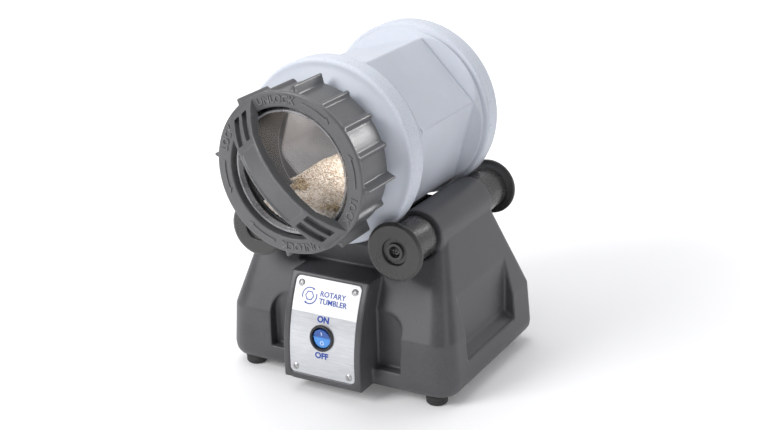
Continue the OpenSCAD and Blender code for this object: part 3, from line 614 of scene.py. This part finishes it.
def make_liner():
    """The rubber lining, a hair clear of the drum."""
    outside = drum_inside(SHELL + 0.15 * MM, 2.6 * MM, 52.25, -78.1, 78.1, -125.5)[::-1]
    inside = drum_inside(SHELL + LINER, 4.6 * MM, 49.6, -75.7, 75.7, -125.5, 8)
    liner = drum_solid("liner", outside, inside)
    settle(liner, "drum", materials["liner_rubber"], "drum_liner")


make_drum()
make_liner()


# ---- Lid and window ----

def raised(name, outline, place, thickness, bevel):
    """A thin raised mark: a flat outline in (u, v), carried by place(u, v, lift) onto a surface."""
    count = len(outline)
    points = [place(u, v, 0) for u, v in outline] + [place(u, v, thickness) for u, v in outline]
    faces = [list(range(count))[::-1], list(range(count, 2 * count))]
    faces += [[i, (i + 1) % count, (i + 1) % count + count, i + count] for i in range(count)]
    mark = make_piece(name, points, faces, smooth=False)
    if bevel:
        edge = mark.modifiers.new("bevel", "BEVEL")
        edge.width = bevel
        edge.segments = 2
        edge.limit_method = "ANGLE"
        applied(mark)
    return mark


def arrow_outline(mid, start, end, width, head):
    """An arrow bent round a circle of radius mid, from one angle to the other."""
    steps = 14
    way = math.copysign(1, end - start)
    neck = end - way * head / mid
    angles = [start + (neck - start) * i / steps for i in range(steps + 1)]
    inner = [(mid - width / 2, a) for a in angles]
    outer = [(mid + width / 2, a) for a in angles[::-1]]
    tip = [(mid - width * 1.25, neck), (mid, end), (mid + width * 1.25, neck)]
    return [(r * math.cos(a), r * math.sin(a)) for r, a in inner + tip + outer]


def letters(name, text, size, place, depth, weight, align="CENTER"):
    """Solid letters, each point carried from its flat line by place(x, y, z)."""
    curve = bpy.data.curves.new(name, "FONT")
    curve.body = text
    curve.size = size
    curve.align_x = align
    curve.align_y = "CENTER"
    curve.extrude = depth
    curve.offset = size * weight
    curve.resolution_u = 6
    flat = bpy.data.objects.new(name + "_flat", curve)
    bpy.context.scene.collection.objects.link(flat)
    bpy.context.view_layer.update()
    mesh = bpy.data.meshes.new_from_object(flat.evaluated_get(bpy.context.evaluated_depsgraph_get()))
    bpy.data.objects.remove(flat)
    for vertex in mesh.vertices:
        vertex.co = place(*vertex.co)
    piece = bpy.data.objects.new(name, mesh)
    bpy.context.scene.collection.objects.link(piece)
    return piece


def on_lid_face(u, v, lift):
    """The point at u across and v up from the lid's middle, lifted off its rim."""
    return Vector((DRUM.x + u, LID_FACE + 0.2 * MM - lift, DRUM.z + v))


RIM_MID = 61 * MM


def rim_word(name, text, degrees):
    """A raised word bent round the middle of the lid's rim."""
    def place(x, y, z):
        a = math.radians(degrees) - x / RIM_MID
        return on_lid_face((RIM_MID + y) * math.cos(a), (RIM_MID + y) * math.sin(a), z + 0.5 * MM)
    return letters(name, text, 8.6 * MM, place, 0.55 * MM, 0.015)


def join(name, pieces):
    """One piece from several, which keep their own loose shells."""
    bm = bmesh.new()
    for piece in pieces:
        bm.from_mesh(piece.data)
        bpy.data.objects.remove(piece)
    mesh = bpy.data.meshes.new(name)
    bm.to_mesh(mesh)
    bm.free()
    joined = bpy.data.objects.new(name, mesh)
    bpy.context.scene.collection.objects.link(joined)
    return joined


def make_lid():
    """The screw ring with its ribs and handle, and the raised marks on its rim."""
    lid = softened("lid_ring", "lid", 0.62 * MM, 3, 0.5)
    settle(lid, "lid", materials["lid_plastic"], "lid_ring")
    marks = []
    for k, (at, way) in enumerate(((62, -1), (190, 1), (242, -1), (370, 1))):
        start, end = math.radians(at - 13 * way), math.radians(at + 13 * way)
        outline = arrow_outline(RIM_MID, start, end, 2.2 * MM, 4.5 * MM)
        marks.append(raised(f"arrow{k}", outline, on_lid_face, 1.1 * MM, 0.25 * MM))
    for k, (text, at) in enumerate((("UNLOCK", 98), ("LOCK", 158), ("UNLOCK", 278), ("LOCK", 338))):
        marks.append(rim_word(f"word{k}", text, at))
    settle(join("lid_arrows", marks), "lid", materials["lid_plastic"], slot="lid_plastic")


def make_window():
    """The clear disk behind the opening, and its turned-up lip."""
    front, rear = -130.5 * MM, -127.6 * MM
    outline = [(0, front, 0), (57.3 * MM, front, 0.4 * MM), (57.3 * MM, rear, 0.4 * MM), (0, rear, 0)]
    window = lathe("window", [(r, DRUM.y + y, f) for r, y, f in outline], DRUM.x, DRUM.z, 180)
    settle(window, "lens", materials["window_clear"], "lid_window")
    lip = [(49.3 * MM, front - 0.02 * MM, 0.1 * MM), (49.7 * MM, -136.3 * MM, 0.8 * MM),
           (51.6 * MM, -136.4 * MM, 0.7 * MM), (51.9 * MM, front - 0.02 * MM, 0.3 * MM)]
    rim = lathe("window_lip", [(r, DRUM.y + y, f) for r, y, f in lip], DRUM.x, DRUM.z, 180)
    settle(rim, "lens", materials["window_rim"], slot="window_clear")


make_lid()
make_window()


# ---- Media ----

MEDIA_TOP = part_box("tumbling_media")[1].z
NECK_REAR = DRUM.y - 72 * MM
NECK_HALF, BARREL_HALF = 32 * MM, 43 * MM


def media_rise(x, y):
    """How far the loose bed lies above or below its level at one place: it is heaped to the left."""
    heap = min(1.0, max(0.0, (0.01 - x) / (40 * MM)))
    return (math.sin(x * 130 + 1) * math.sin(y * 90) * 0.9 - 1.2 + 1.2 * heap) * MM


def make_media():
    """The uneven bed, loose grains over its top and front, and three heaps of brass pieces."""
    rng = random.Random(7)
    bed = softened("tumbling_media", "media_bed", 2.0 * MM, 2, 1)
    for v in bed.data.vertices:
        inner = Vector((v.co.x - DRUM.x, 0, v.co.z - DRUM.z))
        v.co -= inner.normalized() * rng.uniform(0, 0.5) * MM
        if v.co.z > MEDIA_TOP - 3 * MM:
            v.co.z += media_rise(v.co.x, v.co.y) + rng.uniform(-0.5, 0.5) * MM
    settle(bed, "load", materials["media_ceramic"], "tumbling_media")
    low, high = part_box("tumbling_media")
    count = 7200
    grains, brass = [], []
    for _ in range(count):
        y = low.y + 1.5 * MM + (high.y - low.y - 5 * MM) * rng.random() ** 1.5
        half = BARREL_HALF if y > NECK_REAR else NECK_HALF
        x = DRUM.x + rng.uniform(-half, half)
        top = MEDIA_TOP + media_rise(x, y) + rng.uniform(-0.4, 0.6) * MM
        grains.append((Vector((x, y, top)), rng.uniform(0.6, 1.1) * MM))
    for _ in range(count // 4):
        x = rng.uniform(-32, 32) * MM
        depth = rng.uniform(0, 1) * max(0.0, math.sqrt((48 * MM) ** 2 - x * x) - 36 * MM)
        spot = Vector((DRUM.x + x, low.y + 1.2 * MM, MEDIA_TOP - depth))
        grains.append((spot, rng.uniform(0.7, 1.2) * MM))
    for cx, cy, reach, number in ((-34, -76, 8, 44), (-25, -86, 7, 34), (25, -121, 8, 44)):
        for _ in range(number):
            a, d = rng.uniform(0, 2 * math.pi), reach * math.sqrt(rng.random()) * MM
            spot = Vector((DRUM.x + cx * MM + d * math.cos(a), DRUM.y + cy * MM + d * math.sin(a),
                           MEDIA_TOP + rng.uniform(-0.6, 2.2) * MM))
            spot.y = max(spot.y, low.y + 2.6 * MM)
            if spot.y < NECK_REAR:
                spot.x = min(max(spot.x, DRUM.x - NECK_HALF), DRUM.x + NECK_HALF)
            brass.append((spot, rng.uniform(0.9, 1.4) * MM))
    scatter("media_grains", grains, rng, 1.0, "media_ceramic")
    scatter("brass_pieces", brass, rng, 2.1, "brass_bits")


def scatter(name, spots, rng, stretch, material):
    """Many small uneven grains in one piece, each turned its own way."""
    bm = bmesh.new()
    bmesh.ops.create_icosphere(bm, subdivisions=1, radius=1.0)
    lump = [v.co.copy() for v in bm.verts]
    sides = [[v.index for v in f.verts] for f in bm.faces]
    bm.free()
    points, faces = [], []
    for spot, size in spots:
        angle = rng.uniform(0, 6.28)
        axle = Vector((rng.random(), rng.random(), rng.random() + 0.1))
        spin = Matrix.Rotation(angle, 4, axle)
        shape = Matrix.Diagonal((size * stretch, size, size * rng.uniform(0.7, 1.0), 1))
        place = Matrix.Translation(spot) @ spin @ shape
        first = len(points)
        for corner in lump:
            uneven = Vector((rng.uniform(-1, 1), rng.uniform(-1, 1), rng.uniform(-1, 1)))
            points.append(place @ corner + uneven * size * 0.16)
        faces += [[first + i for i in side] for side in sides]
    settle(make_piece(name, points, faces), "load", materials[material], slot="media_ceramic")


make_media()


# ---- Rollers ----

def make_roller(node, sleeve_name):
    """A flanged roller with its recessed face, and the rubber sleeve on its barrel."""
    low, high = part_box(node)
    x, z = (low.x + high.x) / 2, (low.z + high.z) / 2
    front = high.y < DRUM.y
    face = low.y if front else high.y
    way = 1 if front else -1
    depths = [(4.9, 3.7, 0.3), (4.9, 0.9, 0.3), (7.5, 0.8, 0.4), (7.5, 3.2, 0.5), (11.3, 3.2, 0.7),
              (11.5, 0.5, 0.9), (15.5, 0.15, 2), (23.0, 0, 0.8), (25.5, 1.4, 1.2), (25.5, 4.0, 1.2),
              (19.2, 4.6, 0.8), (15.0, 5.0, 0.3), (15.0, 41.5, 0.6), (4.05, 41.5, 0.3), (4.05, 4.1, 0.2)]
    corners = [(r * MM, face + way * d * MM, f * MM) for r, d, f in depths]
    roller = lathe(node.replace("roller", "hub"), corners, x, z, 120)
    settle(roller, body_of[node], materials["roller_plastic"], node)
    sleeve = [(15.05, 5.1, 0.1), (18.0, 4.9, 0.8), (18.5, 6.0, 0.8), (18.5, 40.6, 0.9), (17.6, 41.5, 0.7),
              (15.05, 41.5, 0.2)]
    corners = [(r * MM, face + way * d * MM, f * MM) for r, d, f in sleeve]
    return lathe(sleeve_name, corners, x, z, 120)


def make_rollers():
    """Four rollers; the front sleeve of each pair stands for both of the pair's CAD sleeves."""
    for side in ("drive", "idler"):
        sleeves = [make_roller(f"{side}_{end}_roller", f"{side}_{end}_sleeve")
                   for end in ("front", "rear")]
        settle(sleeves[0], f"{side}_roller", materials["sleeve_rubber"], f"{side}_sleeves")
        settle(sleeves[1], f"{side}_roller", materials["sleeve_rubber"], slot="sleeve_rubber")


make_rollers()


# ---- Base ----

def make_base():
    """The moulded housing with its two towers."""
    base = softened("base_housing", "base", 1.05 * MM, 4, 0.45)
    settle(base, "base", materials["base_plastic"], "base_housing")


def make_feet():
    """Rubber feet with a waist and a rounded sole."""
    low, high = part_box("feet")
    feet = []
    for sx in (low.x + 10 * MM, high.x - 10 * MM):
        for sy in (low.y + 10 * MM, high.y - 10 * MM):
            corners = [(4.6, 0, 0.5), (7.9, 0, 0.9), (9.3, 1.5, 1.0), (9.5, 5.5, 2), (9.9, 8.95, 0.3),
                       (2.1, 8.95, 0), (2.1, 4, 0), (4.6, 4, 0)]
            foot = lathe("foot", [(r * MM, d * MM, f * MM) for r, d, f in corners], 0, 0, 64)
            foot.data.transform(Matrix.Translation((sx, sy, 0)) @ Matrix.Rotation(math.pi / 2, 4, "X"))
            feet.append(foot)
    joined = join("rubber_feet", feet)
    joined.data.shade_smooth()
    settle(joined, "base", materials["foot_rubber"], "feet")


make_base()
make_feet()


# ---- Control panel ----

def on_plate(u, v, lift):
    """The point at u across and v up the plate's curve from the switch, lifted off its face."""
    centre_y = PLATE_LOW.y + PLATE_BEND
    at_switch = math.asin((SWITCH_Z - BEND_Z) / PLATE_BEND)
    a = at_switch + v / PLATE_BEND
    if a < 0:
        return Vector((u, PLATE_LOW.y - lift, BEND_Z + a * PLATE_BEND))
    r = PLATE_BEND + lift
    return Vector((u, centre_y - r * math.cos(a), BEND_Z + r * math.sin(a)))


def panel_point(u, v, lift):
    """The same, on the flat plane of the switch."""
    a = math.asin((SWITCH_Z - BEND_Z) / PLATE_BEND)
    origin = on_plate(0, 0, 0)
    return origin + Vector((u, 0, 0)) + v * Vector((0, math.sin(a), math.cos(a))) \
        + lift * Vector((0, -math.cos(a), math.sin(a)))


def lettering(name, text, u, v, size, weight=0.042, align="CENTER"):
    """Printed letters that follow the plate's curve."""
    def place(x, y, z):
        return on_plate(u + x, v + y, z + 0.07 * MM)
    return letters(name, text, size, place, 0.06 * MM, weight, align)


def polar(r, degrees):
    """The (u, v) point at a radius and an angle."""
    return (r * math.cos(math.radians(degrees)), r * math.sin(math.radians(degrees)))


def make_symbol():
    """A plain sign for a turning drum, a hexagon inside two bent arrows, and two plain words."""
    u0, v0 = -16.5 * MM, 34.3 * MM

    def place(u, v, lift):
        return on_plate(u0 + u, v0 + v, lift)

    parts = []
    for k in range(2):
        start, end = math.radians(200 - 180 * k), math.radians(50 - 180 * k)
        outline = arrow_outline(7.0 * MM, start, end, 0.9 * MM, 2.2 * MM)
        parts.append(raised(f"bent{k}", outline, place, 0.12 * MM, 0))
    for k in range(6):
        a, b = 60 * k, 60 * k + 60
        side = [polar(4.4 * MM, a), polar(4.4 * MM, b), polar(3.5 * MM, b), polar(3.5 * MM, a)]
        parts.append(raised(f"side{k}", side, place, 0.12 * MM, 0))
    for k, text in enumerate(("ROTARY", "TUMBLER")):
        height = (37.4 - 6.3 * k) * MM
        parts.append(lettering(f"title{k}", text, -6.5 * MM, height, 6.4 * MM, 0.018, "LEFT"))
    return parts


def make_prints():
    """Everything that is printed on the plate, as one piece."""
    words = [lettering("word_on", "ON", 0, 15.8 * MM, 7.4 * MM),
             lettering("word_off", "OFF", 0, -16.2 * MM, 7.4 * MM)]
    prints = join("panel_print", words + make_symbol())
    settle(prints, "base", materials["panel_ink"], slot="rocker_blue")


def make_switch():
    """Round bezel with a sunk well for the rocker."""
    tilt = math.asin((SWITCH_Z - BEND_Z) / PLATE_BEND)
    corners = [(0, 16, 0), (9.9, 16, 0.5), (9.9, -0.05, 0.1), (11.5, -0.1, 0.2), (11.75, -1.0, 0.6),
               (10.8, -2.2, 0.7), (9.7, -2.1, 0.4), (9.15, -1.2, 0.3), (9.1, 6.6, 0.2), (0, 6.6, 0)]
    body = lathe("switch_bezel", [(r * MM, d * MM, f * MM) for r, d, f in corners], 0, 0, 128)
    turned = Matrix.Translation(on_plate(0, 0, 0)) @ Matrix.Rotation(-tilt, 4, "X")
    body.data.transform(turned)
    settle(body, "base", materials["switch_black"], "switch_body")


make_prints()
make_switch()


def make_rocker():
    """The rocker, with a bar on its upper half and a ring on its lower one."""
    rocker = softened("switch_rocker", "rocker", 0.22 * MM, 4, 1)
    skin = BVHTree.FromPolygons([v.co for v in rocker.data.vertices],
                                [f.vertices[:] for f in rocker.data.polygons])
    settle(rocker, "rocker", materials["rocker_blue"], "switch_rocker")
    out = (panel_point(0, 0, 1) - panel_point(0, 0, 0)).normalized()

    def on_rocker(u, v, lift):
        hit = skin.ray_cast(panel_point(u, v, 9 * MM), -out)[0]
        return (hit or panel_point(u, v, 0)) + out * (lift - 0.02 * MM)

    bar = [(-0.4 * MM, 2.6 * MM), (0.4 * MM, 2.6 * MM), (0.4 * MM, 5.6 * MM), (-0.4 * MM, 5.6 * MM)]
    marks = [raised("mark_on", bar, on_rocker, 0.1 * MM, 0)]
    for k in range(16):
        a, b = 22.5 * k, 22.5 * (k + 1)
        arc = [polar(1.9 * MM, a), polar(1.9 * MM, b), polar(1.25 * MM, b), polar(1.25 * MM, a)]
        arc = [(u, v - 4.6 * MM) for u, v in arc]
        marks.append(raised(f"mark_off{k}", arc, on_rocker, 0.1 * MM, 0))
    joined = join("rocker_marks", marks)
    settle(joined, "rocker", materials["lens_mark"], slot="rocker_blue")


make_rocker()


# ---- Stage, lights and camera ----

def make_stage():
    """A pale floor that bends up into a backdrop, and glows faintly away from the tumbler."""
    size, bend = 3.0, 1.2
    points = []
    profile = [(-size, 0), (size * 0.6, 0)]
    profile += [(size * 0.6 + bend * math.sin(a), bend - bend * math.cos(a))
                for a in [math.radians(10 * i) for i in range(1, 10)]]
    profile += [(size * 0.6 + bend, 3.5)]
    for y, z in profile:
        points += [(-size * 1.4, y, z), (size * 1.4, y, z)]
    faces = [[2 * i, 2 * i + 1, 2 * i + 3, 2 * i + 2] for i in range(len(profile) - 1)]
    floor = make_piece("floor", points, faces)
    p = Paint("floor_paper", 0.9, Emission_Color=(1, 1, 1, 1))
    color = p.mix(p.ranged(p.noise(0.6, 2), 0.3, 0.7), (0.90, 0.90, 0.905, 1), (0.92, 0.92, 0.925, 1))
    away = p.add("VectorMath", {0: p.place, 1: (0.12, 0.0, 0)}, operation="DISTANCE").outputs["Value"]
    p.tree.links.new(p.ranged(away, 0.18, 0.8, 0.11, 0.40), p.shader.inputs["Emission Strength"])
    floor.data.materials.append(p.done(color))


def softbox(name, place, aim, width, height, power, color=(1, 1, 1)):
    """A rectangular studio lamp turned towards a point."""
    light = bpy.data.lights.new(name, "AREA")
    light.shape = "RECTANGLE"
    light.size, light.size_y = width, height
    light.energy = power
    light.color = color
    lamp = bpy.data.objects.new(name, light)
    lamp.location = place
    lamp.rotation_euler = (Vector(aim) - Vector(place)).to_track_quat("-Z", "Y").to_euler()
    bpy.context.scene.collection.objects.link(lamp)
    return lamp


def only_lights(lamp, name, pieces):
    """Keeps a lamp's light to some pieces."""
    group = bpy.data.collections.new(name)
    for piece in pieces:
        group.objects.link(bpy.data.objects[piece])
    lamp.light_linking.receiver_collection = group


def make_lights():
    """Broad lamps for everything, two small ones for the lid's and sleeves' gloss, and a pale sky."""
    centre = Vector((0, DRUM.y, 0.14))
    edge = softbox("rear_right", (0.75, 1.15, 0.62), centre, 0.4, 0.3, 8.5)
    only_lights(edge, "lid_edges", ("lid", "lid_arrows"))
    streak = softbox("streak", (0.55, 1.15, 0.82), centre, 0.1, 0.5, 1.3)
    only_lights(streak, "front_sleeves", ("drive_front_sleeve", "idler_front_sleeve"))
    softbox("top", (-0.25, 0.15, 1.5), centre, 1.3, 1.1, 11)
    softbox("front_left", (-0.75, -1.35, 1.15), centre, 0.8, 0.8, 23)
    softbox("right", (1.4, -0.35, 0.55), centre, 0.3, 0.9, 2.2, (1, 0.99, 0.97))
    world = bpy.data.worlds.new("studio")
    world.use_nodes = True
    world.node_tree.nodes["Background"].inputs["Color"].default_value = (0.95, 0.96, 1.0, 1)
    world.node_tree.nodes["Background"].inputs["Strength"].default_value = 0.36
    bpy.context.scene.world = world
    bpy.context.scene.view_settings.view_transform = "Standard"


def make_glow():
    """Daylight that the pale drum lets through its wall; it reaches only what lies inside."""
    glow = bpy.data.lights.new("inner_glow", "POINT")
    glow.energy = 0.27
    glow.color = (1, 0.98, 0.95)
    glow.shadow_soft_size = 22 * MM
    lamp = bpy.data.objects.new("inner_glow", glow)
    lamp.location = DRUM + Vector((6, -22, 18)) * MM
    lamp.visible_camera = False
    lamp.visible_glossy = False
    bpy.context.scene.collection.objects.link(lamp)
    only_lights(lamp, "inside_drum", ("liner", "media_bed", "media_grains", "brass_pieces"))


DISTANCE = 1.2623


def make_camera():
    """The camera at the photograph's angle, slightly rolled."""
    azimuth, elevation, roll = (math.radians(a) for a in (29.74, 20.27, -1.64))
    back = Vector((math.sin(azimuth) * math.cos(elevation), -math.cos(azimuth) * math.cos(elevation),
                   math.sin(elevation)))
    side = Vector((math.cos(azimuth), math.sin(azimuth), 0))
    up = back.cross(side)
    right = side * math.cos(roll) + up * math.sin(roll)
    top = up * math.cos(roll) - side * math.sin(roll)
    target = Vector((7.2 * MM, DRUM.y, 133.8 * MM))
    place = target + back * DISTANCE
    data = bpy.data.cameras.new("camera")
    data.sensor_width = 36
    data.lens = 66.57
    camera = bpy.data.objects.new("camera", data)
    camera.matrix_world = Matrix(((right.x, top.x, back.x, place.x), (right.y, top.y, back.y, place.y),
                                  (right.z, top.z, back.z, place.z), (0, 0, 0, 1)))
    bpy.context.scene.collection.objects.link(camera)
    bpy.context.scene.camera = camera


make_stage()
make_lights()
make_glow()
make_camera()
